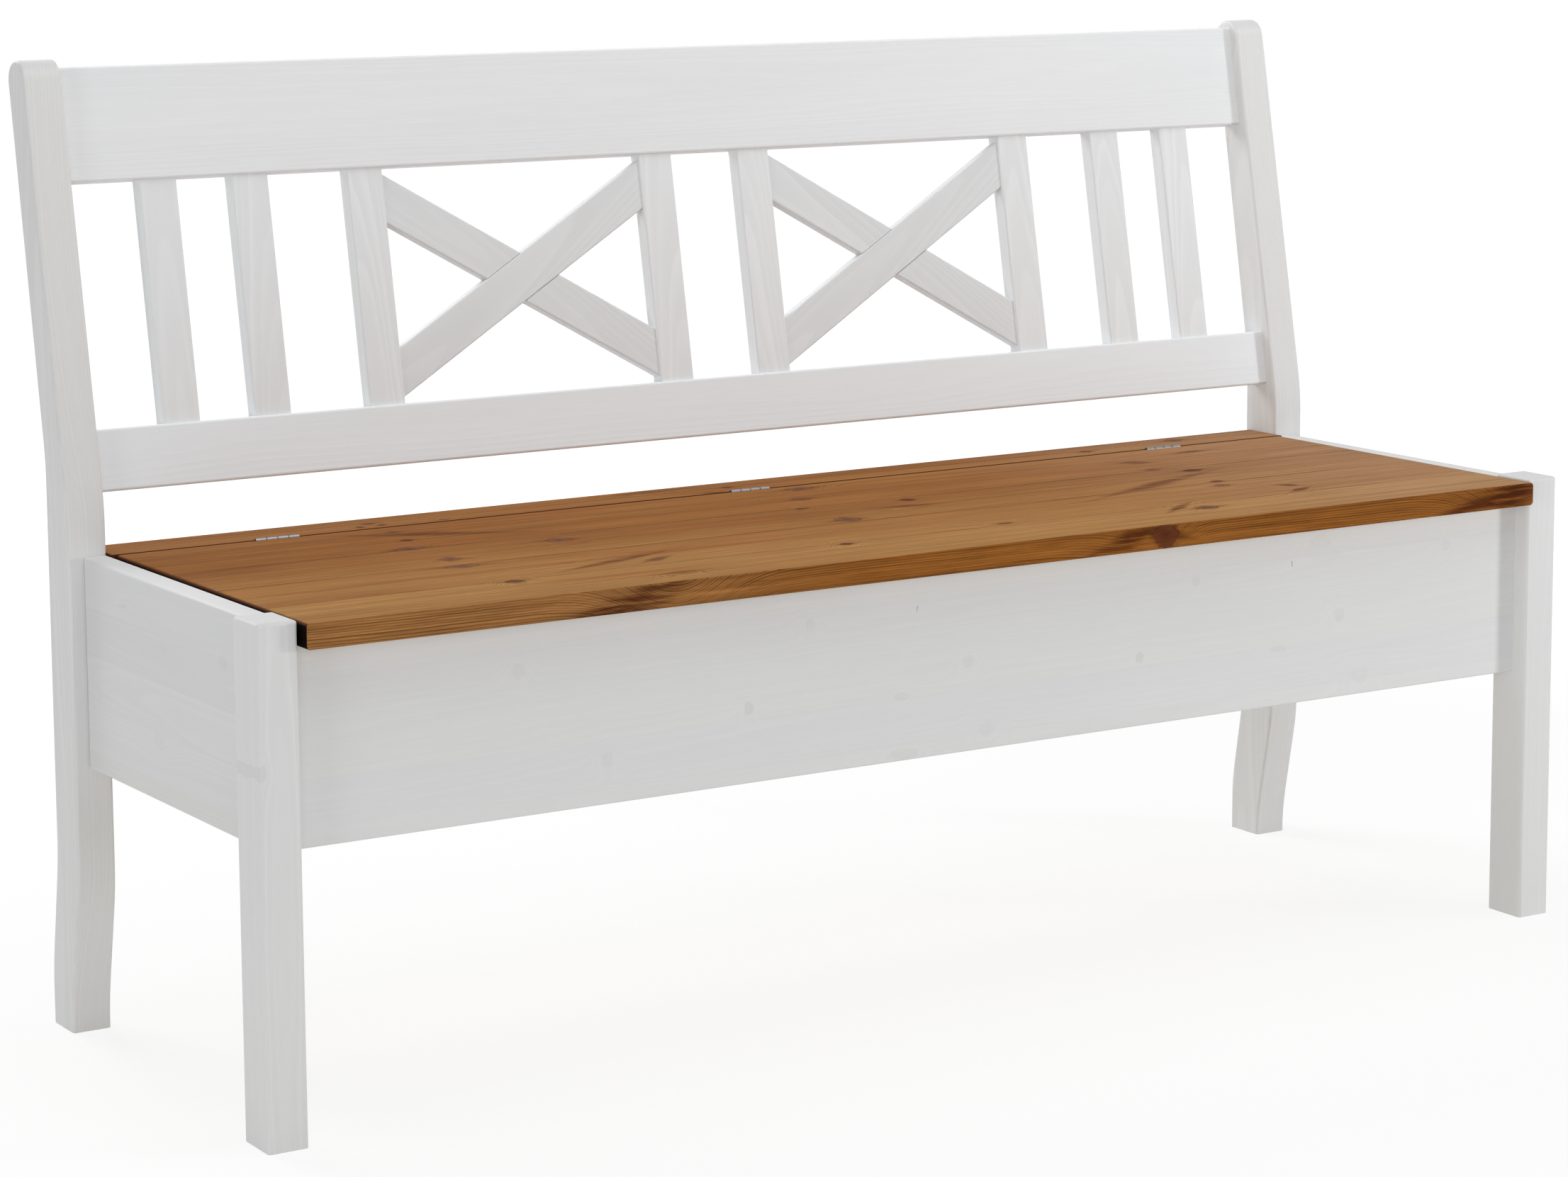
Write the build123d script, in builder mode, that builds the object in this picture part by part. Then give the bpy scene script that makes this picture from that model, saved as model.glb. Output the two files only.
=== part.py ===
from build123d import *
import os
from math import acos, asin, atan, atan2, cos, hypot, radians, sin, tan

# Storage bench with a leaning slatted backrest and a hinged wooden seat lid.
# Millimetres. X runs along the bench, Y from front to back, Z up from the floor.
# The origin is on the floor, in the middle of the bench's outline.

# Overall size
overall_length = 1500.0
overall_height = 937.5
seat_height = 472.0

# Front legs and the stock that the rear posts are cut from
leg_width = 39.0
leg_depth = 50.0
leg_edge_radius = 3.0
leg_rise = 1.5

# Rear posts, seen from the side
post_setback = 421.0
post_depth = 52.0
foot_kick = 23.0
foot_depth = 48.5
front_kick_low = 26.0
front_kick_high = 145.0
back_kick_low = 56.0
back_kick_high = 168.0
lean_start = 45.0
back_lean_start = 84.0
bend_radius = 240.0
bend_share = 0.9
post_top_radius = 19.5
post_top_behind_rail = 8.5

# Backrest
lean_angle = 10.6
rail_recess = 12.5
rail_thickness = 24.0
rail_below_post_top = 7.5
top_rail_height = 111.0
lower_rail_height = 60.0
lower_rail_rise = 12.0
rail_edge_radius = 2.5
tenon_length = 20.0
tenon_thickness = 10.0
tenon_shoulder = 8.0
slat_width = 39.0
slat_thickness = 18.0
slat_housing = 8.0
slat_edge_radius = 2.0
middle_slat_gap = 80.0
cross_side_gap = 86.0
outer_slat_gap = 58.0
post_slat_gap = 74.5
cross_bar_width = 43.0
cross_recess = 2.5
cross_margin = 6.0

# Storage box
panel_bottom = 265.0
end_panel_thickness = 24.0
end_panel_drop = 2.0
end_panel_edge_radius = 3.5
panel_thickness = 20.0
front_panel_recess = 19.0
rear_panel_recess = 7.0
panel_edge_radius = 2.0
floor_thickness = 9.0
floor_gap = 0.5
floor_batten_size = 20.0
floor_batten_inset = 30.0

# Seat
lid_thickness = 24.0
lid_overhang = 11.0
lid_end_gap = 3.0
lid_end_radius = 4.0
seat_edge_radius = 1.0
seat_board_depth = 58.5
seat_board_end_gap = 0.5
lid_batten_width = 45.0
lid_batten_thickness = 18.0
lid_batten_inset = 230.0
lid_batten_front_gap = 25.0
lid_batten_rear_gap = 55.0

# Butt hinges
hinge_length = 47.0
hinge_inset = 171.0
hinge_sink = 0.3
knuckle_count = 4
knuckle_radius = 2.5
knuckle_gap = 0.8
leaf_thickness = 1.2
leaf_height = 20.0
barrel_clearance = 0.4
pin_clearance = 0.05
pin_recess = 0.8
pin_chamfer = 0.3

# Dowels and screws
dowel_diameter = 8.0
dowel_length = 30.0
cross_dowel_diameter = 6.0
cross_dowel_length = 24.0
dowel_end_space = 1.0
end_dowel_count = 3
seat_dowel_count = 5
hinge_screw_radius = 1.4
hinge_head_land = 0.1
hinge_screw_length = 16.0
hinge_screw_count = 3
hinge_screw_pitch = 15.0
wood_screw_radius = 2.0
wood_screw_head_radius = 4.0
wood_screw_bite = 10.0
batten_screw_count = 3
floor_screw_count = 5
screw_tip = 3.0

# Clearances of glued wood joints and of round fasteners in their holes
wood_fit = 0.1
hole_fit = 0.05

# Places along the bench
half_length = overall_length / 2
inner_x = half_length - leg_width
leg_x = half_length - leg_width / 2
end_panel_x = inner_x + end_panel_thickness / 2
hinge_xs = (hinge_inset - inner_x, 0.0, inner_x - hinge_inset)
place_names = ("left", "middle", "right")

# The backrest's plane: rail fronts lie on it, local X along the bench and local Y up the lean
lean = radians(lean_angle)
bend_z = seat_height + lean_start
post_top_z = overall_height - post_top_radius
top_behind_bend = (post_top_z - bend_z) * tan(lean) + post_top_behind_rail / cos(lean)
post_top_setback = post_setback + rail_recess + top_behind_bend

# Places from front to back
overall_depth = lid_overhang + post_top_setback + post_top_radius
lid_front_y = -overall_depth / 2
leg_front_y = lid_front_y + lid_overhang
leg_y = leg_front_y + leg_depth / 2
leg_back_y = leg_front_y + leg_depth
front_panel_y = leg_front_y + front_panel_recess + panel_thickness / 2
front_panel_back_y = front_panel_y + panel_thickness / 2
post_front_y = leg_front_y + post_setback
post_back_y = post_front_y + post_depth
post_top_y = leg_front_y + post_top_setback
seat_board_back_y = post_back_y - rear_panel_recess
seat_board_front_y = seat_board_back_y - seat_board_depth
seat_board_y = seat_board_back_y - seat_board_depth / 2
rear_panel_y = seat_board_back_y - panel_thickness / 2
rear_panel_front_y = seat_board_back_y - panel_thickness
joint_gap = 2 * (knuckle_radius - leaf_thickness)
hinge_y = seat_board_front_y - joint_gap / 2
lid_back_y = seat_board_front_y - joint_gap

# Heights
lid_bottom = seat_height - lid_thickness
panel_height = lid_bottom - panel_bottom
end_panel_height = seat_height - end_panel_drop - panel_bottom
floor_bottom = panel_bottom + floor_batten_size
hinge_z = seat_height - hinge_sink

# Backrest places up the lean, measured from where the posts start to lean
back_plane = Plane(
    origin=(0, post_front_y + rail_recess, bend_z),
    x_dir=(1, 0, 0),
    z_dir=(0, -cos(lean), sin(lean)),
)
lean_axis = Axis((0, 0, 0), (0, sin(lean), cos(lean)))
lower_rail_top = lower_rail_rise + lower_rail_height
top_rail_top = (overall_height - rail_below_post_top - bend_z) / cos(lean)
top_rail_bottom = top_rail_top - top_rail_height
clear_height = top_rail_bottom - lower_rail_top
slat_recess = (rail_thickness - slat_thickness) / 2
rail_levels = ((lower_rail_rise, lower_rail_height), (top_rail_bottom, top_rail_height))

# Slats from the left post to the right one. The two crosses take the width that is left.
cross_width = inner_x - 4 * slat_width - middle_slat_gap / 2 - cross_side_gap - outer_slat_gap - post_slat_gap
half_slat_xs = [middle_slat_gap / 2 + slat_width / 2]
for gap in (cross_width, cross_side_gap, outer_slat_gap):
    half_slat_xs.append(half_slat_xs[-1] + slat_width + gap)
slat_xs = [-x for x in reversed(half_slat_xs)] + half_slat_xs
cross_x = (half_slat_xs[0] + half_slat_xs[1]) / 2

# Each cross bar runs from corner to corner of its field
cross_height = clear_height - 2 * cross_margin
cross_low = lower_rail_top + cross_margin
cross_diagonal = hypot(cross_width, cross_height)
cross_angle = atan2(cross_height, cross_width) - asin(cross_bar_width / cross_diagonal)
cross_end_height = cross_bar_width / cos(cross_angle)
cross_front = slat_recess + cross_recess
cross_thickness = slat_thickness - 2 * cross_recess


def write_piece(piece, name):
    """Labels a finished piece and writes it to its own file."""
    piece.part.label = name
    export_step(piece.part, f"parts/{name}.step")


def spread(count, low, high):
    """Evenly spaced values between two ends, each half a step in from its end."""
    step = (high - low) / count
    return [low + step * (index + 0.5) for index in range(count)]


def block(x, y, bottom, length, depth, height, mode=Mode.ADD):
    """An upright block: its middle in plan, its lowest level and its sizes."""
    with BuildSketch(Plane.XY.offset(bottom)) as plan:
        with Locations((x, y)):
            Rectangle(length, depth)
    extrude(plan.sketch, amount=height, mode=mode)


def back_bar(x, middle, length, height, depth, thickness, grow=0.0, mode=Mode.ADD):
    """A bar in the leaning backrest, set back from the rail fronts by depth and grown on every side."""
    with BuildSketch(back_plane.offset(grow - depth)) as face:
        with Locations((x, middle)):
            Rectangle(length + 2 * grow, height + 2 * grow)
    extrude(face.sketch, amount=-(thickness + 2 * grow), mode=mode)


def drill_dowels(planes, diameter, length):
    """Cuts the holes for dowels that are centred on the given planes."""
    with Locations(*planes):
        Cylinder(diameter / 2 + hole_fit, length + 2 * dowel_end_space, mode=Mode.SUBTRACT)


def dowels(planes, diameter, length):
    """A set of dowels with eased ends."""
    with BuildPart() as pins:
        with Locations(*planes):
            Cylinder(diameter / 2, length)
        chamfer(pins.edges().filter_by(GeomType.CIRCLE), dowel_end_space)
    return pins


def screw_set(planes, radius, head_radius, length):
    """Countersunk screws, each with its head flush in a plane and its shank running down into it."""
    head_height = head_radius - radius
    with BuildPart() as screws:
        for plane in planes:
            profile_plane = Plane(origin=plane.origin, x_dir=plane.x_dir, z_dir=-plane.y_dir)
            with BuildSketch(profile_plane):
                with BuildLine():
                    Polyline(
                        (0, 0),
                        (head_radius, 0),
                        (radius, -head_height),
                        (radius, screw_tip - length),
                        (0, -length),
                        close=True,
                    )
                make_face()
            revolve(axis=Axis(plane.origin, plane.z_dir))
    return screws


def drill_screws(planes, radius, length):
    """Pilot holes for the shanks of screws."""
    with Locations(*planes):
        Hole(radius + hole_fit, length + screw_tip)


def countersink_screws(planes, radius, head_radius, depth):
    """Countersunk holes through a piece that screws hold."""
    with Locations(*planes):
        CounterSinkHole(radius + hole_fit, head_radius + hole_fit, depth, counter_sink_angle=90)


# Dowel places. Those along X and those along Y are at different heights, so they pass inside the legs.
end_dowel_zs = spread(end_dowel_count, panel_bottom, panel_bottom + end_panel_height)
long_dowel_zs = [(low + high) / 2 for low, high in zip(end_dowel_zs, end_dowel_zs[1:])]
front_dowels = {}
rear_dowels = {}
leg_dowels = {}
post_dowels = {}
for side in (-1, 1):
    front_dowels[side] = [
        Plane((side * inner_x, front_panel_y, z), z_dir=(1, 0, 0)) for z in long_dowel_zs
    ]
    rear_dowels[side] = [
        Plane((side * inner_x, rear_panel_y, z), z_dir=(1, 0, 0)) for z in long_dowel_zs
    ]
    leg_dowels[side] = [
        Plane((side * end_panel_x, leg_back_y, z), z_dir=(0, 1, 0)) for z in end_dowel_zs
    ]
    post_dowels[side] = [
        Plane((side * end_panel_x, post_front_y, z), z_dir=(0, 1, 0)) for z in end_dowel_zs
    ]
seat_dowels = [
    Plane((x, rear_panel_y, lid_bottom)) for x in spread(seat_dowel_count, -inner_x, inner_x)
]

# Screw places. A screw runs from its plane's origin against the plane's normal.
# The hinge screws' heads end just inside the leaves.
hinge_screw_head_radius = hinge_screw_radius + leaf_thickness - hinge_head_land
leaf_top_z = hinge_z - knuckle_radius - barrel_clearance
leaf_bottom_z = hinge_z - leaf_height
hinge_screw_z = (leaf_top_z + leaf_bottom_z) / 2
hinge_screws = {}
for facing in (-1, 1):
    hinge_screws[facing] = [
        Plane(
            (x + hinge_screw_pitch * (index - (hinge_screw_count - 1) / 2),
             hinge_y + facing * joint_gap / 2,
             hinge_screw_z),
            z_dir=(0, -facing, 0),
        )
        for x in hinge_xs
        for index in range(hinge_screw_count)
    ]
lid_batten_xs = (lid_batten_inset - inner_x, 0.0, inner_x - lid_batten_inset)
lid_batten_front_y = front_panel_back_y + lid_batten_front_gap
lid_batten_back_y = lid_back_y - lid_batten_rear_gap
lid_batten_length = lid_batten_back_y - lid_batten_front_y
lid_batten_y = (lid_batten_front_y + lid_batten_back_y) / 2
lid_batten_bottom = lid_bottom - lid_batten_thickness
lid_batten_screws = {
    x: [
        Plane((x, y, lid_batten_bottom), z_dir=(0, 0, -1))
        for y in spread(batten_screw_count, lid_batten_front_y, lid_batten_back_y)
    ]
    for x in lid_batten_xs
}
lid_screw_length = lid_batten_thickness + wood_screw_bite
floor_batten_length = 2 * (inner_x - floor_batten_inset)
floor_screw_xs = spread(floor_screw_count, -floor_batten_length / 2, floor_batten_length / 2)
floor_screw_z = panel_bottom + floor_batten_size / 2
front_floor_screws = [
    Plane((x, front_panel_back_y + floor_batten_size, floor_screw_z), z_dir=(0, 1, 0))
    for x in floor_screw_xs
]
rear_floor_screws = [
    Plane((x, rear_panel_front_y - floor_batten_size, floor_screw_z), z_dir=(0, -1, 0))
    for x in floor_screw_xs
]
floor_screw_length = floor_batten_size + wood_screw_bite

# Dowels between the slats and the ends of the cross bars, at each corner of the two fields
cross_dowels = []
low_end = cross_low + cross_end_height / 2
high_end = cross_low + cross_height - cross_end_height / 2
for center_x in (-cross_x, cross_x):
    for face_x in (center_x - cross_width / 2, center_x + cross_width / 2):
        for end_middle in (low_end, high_end):
            place = back_plane.from_local_coords((face_x, end_middle, -rail_thickness / 2))
            cross_dowels.append(Plane(place, z_dir=(1, 0, 0)))


def front_leg(side):
    """A straight front leg with eased corners."""
    with BuildPart() as leg:
        block(side * leg_x, leg_y, 0, leg_width, leg_depth, seat_height + leg_rise)
        top_edges = leg.faces().sort_by(Axis.Z)[-1].edges()
        fillet(leg.edges().filter_by(Axis.Z) + top_edges, leg_edge_radius)
        drill_dowels(front_dowels[side] + leg_dowels[side], dowel_diameter, dowel_length)
    return leg


def touch_point(point, turn):
    """Where a straight edge from a point meets the post's rounded top; turn picks the front or back side."""
    from_top_y = point[0] - post_top_y
    from_top_z = point[1] - post_top_z
    angle = atan2(from_top_z, from_top_y) + turn * acos(post_top_radius / hypot(from_top_y, from_top_z))
    return post_top_y + post_top_radius * cos(angle), post_top_z + post_top_radius * sin(angle)


def rear_post(side):
    """A rear post: kicked-back foot, upright seat section, leaning upper part with a round top."""
    foot_front_y = post_front_y + foot_kick
    foot_back_y = foot_front_y + foot_depth
    front_bend = (post_front_y, bend_z)
    back_bend = (post_back_y, seat_height + back_lean_start)
    front_points = [
        (foot_front_y, 0),
        (foot_front_y, front_kick_low),
        (post_front_y, front_kick_high),
        front_bend,
        touch_point(front_bend, -1),
    ]
    back_points = [
        touch_point(back_bend, 1),
        back_bend,
        (post_back_y, back_kick_high),
        (foot_back_y, back_kick_low),
        (foot_back_y, 0),
    ]
    kick_angle = atan(foot_kick / (front_kick_high - front_kick_low))
    foot_bend_radius = min(bend_radius, bend_share * front_kick_low / tan(kick_angle / 2))
    round_top = (post_top_y + post_top_radius * sin(lean), post_top_z + post_top_radius * cos(lean))
    with BuildPart() as post:
        with BuildSketch(Plane.YZ.offset(side * leg_x - leg_width / 2)):
            with BuildLine():
                FilletPolyline(*front_points, radius=[foot_bend_radius, bend_radius, bend_radius])
                ThreePointArc(front_points[-1], round_top, back_points[0])
                FilletPolyline(*back_points, radius=bend_radius)
                Line(back_points[-1], front_points[0])
            make_face()
        extrude(amount=leg_width)
        side_faces = post.faces().sort_by(Axis.X)
        outline = side_faces[0].edges() + side_faces[-1].edges()
        bottom_edges = outline.sort_by(Axis.Z)[:2]
        fillet([edge for edge in outline if edge not in bottom_edges], leg_edge_radius)
        for bottom, height in rail_levels:
            rail_tenon(bottom, height, grow=wood_fit, mode=Mode.SUBTRACT)
        drill_dowels(rear_dowels[side] + post_dowels[side], dowel_diameter, dowel_length)
    return post


def rail_tenon(bottom, height, grow=0.0, mode=Mode.ADD):
    """The tenons of a rail as one bar from end to end, or their mortises when grown and cut."""
    back_bar(
        0,
        bottom + height / 2,
        2 * (inner_x + tenon_length),
        height - 2 * tenon_shoulder,
        (rail_thickness - tenon_thickness) / 2,
        tenon_thickness,
        grow,
        mode,
    )


def back_rail(bottom, height, slat_edge):
    """A backrest rail with a tenon at each end and housings for the slats along one edge."""
    with BuildPart() as rail:
        back_bar(0, bottom + height / 2, 2 * inner_x, height, 0, rail_thickness)
        fillet(rail.edges().filter_by(Axis.X), rail_edge_radius)
        rail_tenon(bottom, height)
        for x in slat_xs:
            back_bar(
                x,
                slat_edge,
                slat_width,
                2 * slat_housing,
                slat_recess,
                slat_thickness,
                wood_fit,
                Mode.SUBTRACT,
            )
    return rail


def slat(x):
    """An upright slat; the ones beside a cross have dowel holes for its bars."""
    with BuildPart() as upright:
        back_bar(
            x,
            lower_rail_top + clear_height / 2,
            slat_width,
            clear_height + 2 * slat_housing,
            slat_recess,
            slat_thickness,
        )
        fillet(upright.edges().filter_by(lean_axis), slat_edge_radius)
        own_dowels = [plane for plane in cross_dowels if abs(plane.origin.X - x) < slat_width]
        if own_dowels:
            drill_dowels(own_dowels, cross_dowel_diameter, cross_dowel_length)
    return upright


def cross_outline(center_x, rise):
    """Corners of a cross bar, which rises to the right with rise 1 and to the left with rise -1."""
    corners = (
        (-cross_width / 2, cross_low),
        (cross_width / 2, cross_low + cross_height - cross_end_height),
        (cross_width / 2, cross_low + cross_height),
        (-cross_width / 2, cross_low + cross_end_height),
    )
    return [(center_x + rise * x, s) for x, s in corners]


def cross_bar(center_x, rise):
    """One bar of a cross, half-lapped with the other: the one that rises to the right runs in front."""
    along = (rise * cos(cross_angle), sin(cross_angle) * sin(lean), sin(cross_angle) * cos(lean))
    lap_depth = cross_front + (cross_thickness / 2 if rise == 1 else -wood_fit)
    lap_size = cross_thickness / 2 + wood_fit
    with BuildPart() as bar:
        with BuildSketch(back_plane.offset(-cross_front)):
            with BuildLine():
                Polyline(*cross_outline(center_x, rise), close=True)
            make_face()
        extrude(amount=-cross_thickness)
        fillet(bar.edges().filter_by(Axis((0, 0, 0), along)), slat_edge_radius)
        with BuildSketch(back_plane.offset(-lap_depth)):
            with BuildLine():
                Polyline(*cross_outline(center_x, -rise), close=True)
            make_face()
            offset(amount=wood_fit, kind=Kind.INTERSECTION)
        extrude(amount=-lap_size, mode=Mode.SUBTRACT)
        own_dowels = [plane for plane in cross_dowels if abs(plane.origin.X - center_x) < cross_width]
        drill_dowels(own_dowels, cross_dowel_diameter, cross_dowel_length)
    return bar


def end_panel(side):
    """A panel between a front leg and a rear post, flush with the legs' inner faces."""
    with BuildPart() as panel:
        depth = post_front_y - leg_back_y
        middle_y = (post_front_y + leg_back_y) / 2
        block(side * end_panel_x, middle_y, panel_bottom, end_panel_thickness, depth, end_panel_height)
        inner_face, outer_face = panel.faces().filter_by(Axis.X).sort_by(Axis((0, 0, 0), (side, 0, 0)))
        inner_edges = inner_face.edges().filter_by(Axis.Y)
        fillet(outer_face.edges(), end_panel_edge_radius)
        fillet(inner_edges, panel_edge_radius)
        drill_dowels(leg_dowels[side] + post_dowels[side], dowel_diameter, dowel_length)
    return panel


def long_panel(middle_y, dowel_planes, screw_planes):
    """The front or rear panel of the storage box, with pilot holes for its floor batten."""
    with BuildPart() as panel:
        block(0, middle_y, panel_bottom, 2 * inner_x, panel_thickness, panel_height)
        bottom_edges = panel.faces().sort_by(Axis.Z)[0].edges().filter_by(Axis.X)
        fillet(bottom_edges, panel_edge_radius)
        drill_dowels(dowel_planes, dowel_diameter, dowel_length)
        drill_screws(screw_planes, wood_screw_radius, floor_screw_length)
    return panel


def floor_batten(middle_y, screw_planes):
    """A batten that carries one long edge of the storage floor."""
    with BuildPart() as batten:
        block(0, middle_y, panel_bottom, floor_batten_length, floor_batten_size, floor_batten_size)
        countersink_screws(screw_planes, wood_screw_radius, wood_screw_head_radius, floor_screw_length)
    return batten


def cut_hinge_seat(x, facing):
    """Mortise for a hinge leaf in a seat edge, with room for the barrel above it."""
    seat_bottom = leaf_bottom_z - wood_fit
    middle_y = hinge_y + facing * knuckle_radius / 2
    seat_length = hinge_length + 2 * wood_fit
    block(x, middle_y, seat_bottom, seat_length, knuckle_radius, leaf_height, Mode.SUBTRACT)
    with Locations(Plane((x, hinge_y, hinge_z), z_dir=(1, 0, 0))):
        Cylinder(
            knuckle_radius + barrel_clearance,
            hinge_length + 2 * barrel_clearance,
            mode=Mode.SUBTRACT,
        )


def seat_board():
    """The fixed board behind the hinge joint, which carries the hinges."""
    with BuildPart() as board:
        length = 2 * (inner_x - seat_board_end_gap)
        block(0, seat_board_y, lid_bottom, length, seat_board_depth, lid_thickness)
        fillet(board.faces().sort_by(Axis.Z)[-1].edges(), seat_edge_radius)
        for x in hinge_xs:
            cut_hinge_seat(x, 1)
        drill_screws(hinge_screws[1], hinge_screw_radius, hinge_screw_length)
        drill_dowels(seat_dowels, dowel_diameter, dowel_length)
    return board


def seat_lid():
    """The seat, a glued-up panel with all its edges eased."""
    with BuildPart() as lid:
        length = 2 * (inner_x - lid_end_gap)
        middle_y = (lid_front_y + lid_back_y) / 2
        block(0, middle_y, lid_bottom, length, lid_back_y - lid_front_y, lid_thickness)
        fillet(lid.edges().filter_by(Axis.Y), lid_end_radius)
        front_and_back = lid.faces().filter_by(Axis.Y)
        fillet(front_and_back.edges(), seat_edge_radius)
        for x in hinge_xs:
            cut_hinge_seat(x, -1)
        drill_screws(hinge_screws[-1], hinge_screw_radius, hinge_screw_length)
        for planes in lid_batten_screws.values():
            drill_screws(planes, wood_screw_radius, lid_screw_length)
    return lid


def lid_batten(x):
    """A cross batten under the lid that keeps it flat."""
    with BuildPart() as batten:
        block(x, lid_batten_y, lid_batten_bottom, lid_batten_width, lid_batten_length, lid_batten_thickness)
        lower_edges = batten.faces().sort_by(Axis.Z)[0].edges()
        chamfer(lower_edges, panel_edge_radius)
        countersink_screws(lid_batten_screws[x], wood_screw_radius, wood_screw_head_radius, lid_screw_length)
    return batten


def storage_floor():
    """The board that lies on the two floor battens."""
    with BuildPart() as board:
        depth = rear_panel_front_y - front_panel_back_y - 2 * floor_gap
        middle_y = (rear_panel_front_y + front_panel_back_y) / 2
        block(0, middle_y, floor_bottom, 2 * (inner_x - floor_gap), depth, floor_thickness)
    return board


def hinge_leaf(x, facing):
    """A hinge leaf with its own knuckles: facing 1 is the fixed leaf, facing -1 the lid's."""
    plate_y = hinge_y + facing * (knuckle_radius - leaf_thickness / 2)
    pitch = hinge_length / knuckle_count
    first = 0 if facing == 1 else 1
    with BuildPart() as leaf:
        block(x, plate_y, leaf_bottom_z, hinge_length, leaf_thickness, leaf_top_z - leaf_bottom_z)
        for index in range(first, knuckle_count, 2):
            knuckle_x = x - hinge_length / 2 + pitch * (index + 0.5)
            block(knuckle_x, plate_y, leaf_top_z, pitch - knuckle_gap, leaf_thickness, hinge_z - leaf_top_z)
            with Locations(Plane((knuckle_x, hinge_y, hinge_z), z_dir=(1, 0, 0))):
                Cylinder(knuckle_radius, pitch - knuckle_gap)
        with Locations(Plane((x, hinge_y, hinge_z), z_dir=(1, 0, 0))):
            Cylinder(knuckle_radius - leaf_thickness, 2 * hinge_length, mode=Mode.SUBTRACT)
        own_screws = [plane for plane in hinge_screws[facing] if abs(plane.origin.X - x) < hinge_length / 2]
        countersink_screws(own_screws, hinge_screw_radius, hinge_screw_head_radius, 2 * leaf_thickness)
    return leaf


def hinge_pin(x):
    """A hinge pin that ends a little inside the barrel."""
    with BuildPart() as pin:
        with Locations(Plane((x, hinge_y, hinge_z), z_dir=(1, 0, 0))):
            Cylinder(knuckle_radius - leaf_thickness - pin_clearance, hinge_length - 2 * pin_recess)
        chamfer(pin.edges().filter_by(GeomType.CIRCLE), pin_chamfer)
    return pin


os.makedirs("parts", exist_ok=True)

for side, side_name in ((-1, "left"), (1, "right")):
    write_piece(front_leg(side), f"front_leg_{side_name}")
    write_piece(rear_post(side), f"rear_post_{side_name}")
    write_piece(end_panel(side), f"end_panel_{side_name}")
    write_piece(cross_bar(side * cross_x, 1), f"{side_name}_cross_rising_bar")
    write_piece(cross_bar(side * cross_x, -1), f"{side_name}_cross_falling_bar")

write_piece(back_rail(top_rail_bottom, top_rail_height, top_rail_bottom), "top_rail")
write_piece(back_rail(lower_rail_rise, lower_rail_height, lower_rail_top), "lower_rail")
for number, x in enumerate(slat_xs, start=1):
    write_piece(slat(x), f"slat_{number}")

front_panel_dowels = front_dowels[-1] + front_dowels[1]
rear_panel_dowels = rear_dowels[-1] + rear_dowels[1] + seat_dowels
front_batten_y = front_panel_back_y + floor_batten_size / 2
rear_batten_y = rear_panel_front_y - floor_batten_size / 2
write_piece(long_panel(front_panel_y, front_panel_dowels, front_floor_screws), "front_panel")
write_piece(long_panel(rear_panel_y, rear_panel_dowels, rear_floor_screws), "rear_panel")
write_piece(floor_batten(front_batten_y, front_floor_screws), "floor_batten_front")
write_piece(floor_batten(rear_batten_y, rear_floor_screws), "floor_batten_rear")
write_piece(storage_floor(), "storage_floor")
write_piece(seat_board(), "rear_seat_board")
write_piece(seat_lid(), "seat_lid")

for x, place_name in zip(lid_batten_xs, place_names):
    write_piece(lid_batten(x), f"lid_batten_{place_name}")
for x, place_name in zip(hinge_xs, place_names):
    write_piece(hinge_leaf(x, 1), f"hinge_{place_name}_fixed_leaf")
    write_piece(hinge_leaf(x, -1), f"hinge_{place_name}_lid_leaf")
    write_piece(hinge_pin(x), f"hinge_{place_name}_pin")

panel_dowel_planes = []
for side in (-1, 1):
    panel_dowel_planes += front_dowels[side] + rear_dowels[side] + leg_dowels[side] + post_dowels[side]
write_piece(dowels(panel_dowel_planes, dowel_diameter, dowel_length), "panel_dowels")
write_piece(dowels(seat_dowels, dowel_diameter, dowel_length), "seat_board_dowels")
write_piece(dowels(cross_dowels, cross_dowel_diameter, cross_dowel_length), "cross_dowels")

for facing, holder in ((1, "fixed"), (-1, "lid")):
    hinge_screw_set = screw_set(
        hinge_screws[facing], hinge_screw_radius, hinge_screw_head_radius, hinge_screw_length
    )
    write_piece(hinge_screw_set, f"hinge_{holder}_screws")
all_lid_batten_screws = [plane for planes in lid_batten_screws.values() for plane in planes]
write_piece(
    screw_set(all_lid_batten_screws, wood_screw_radius, wood_screw_head_radius, lid_screw_length),
    "lid_batten_screws",
)
write_piece(
    screw_set(
        front_floor_screws + rear_floor_screws, wood_screw_radius, wood_screw_head_radius, floor_screw_length
    ),
    "floor_batten_screws",
)
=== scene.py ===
"""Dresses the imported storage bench: a finish for every piece, the floor, the light and the camera."""
import math
import random
from collections import namedtuple

import bpy
from mathutils import Matrix, Vector


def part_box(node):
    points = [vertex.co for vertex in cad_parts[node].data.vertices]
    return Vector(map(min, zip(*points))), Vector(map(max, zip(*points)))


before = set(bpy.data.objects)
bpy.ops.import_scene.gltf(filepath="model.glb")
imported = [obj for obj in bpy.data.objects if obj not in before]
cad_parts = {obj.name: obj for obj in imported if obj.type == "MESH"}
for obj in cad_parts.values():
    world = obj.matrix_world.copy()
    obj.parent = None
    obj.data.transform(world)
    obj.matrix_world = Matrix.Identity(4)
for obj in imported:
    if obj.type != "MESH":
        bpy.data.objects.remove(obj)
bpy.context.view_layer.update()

# Camera, fitted to the photograph (2212 x 1661 pixels); metres and degrees
PHOTO_WIDTH = 2212
FOCAL_LENGTH_PIXELS = 5710.3
SENSOR_WIDTH_MM = 36.0
CAMERA_PLACE = (-2.1869, -3.4052, 1.1267)
CAMERA_AZIMUTH = -32.141
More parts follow.
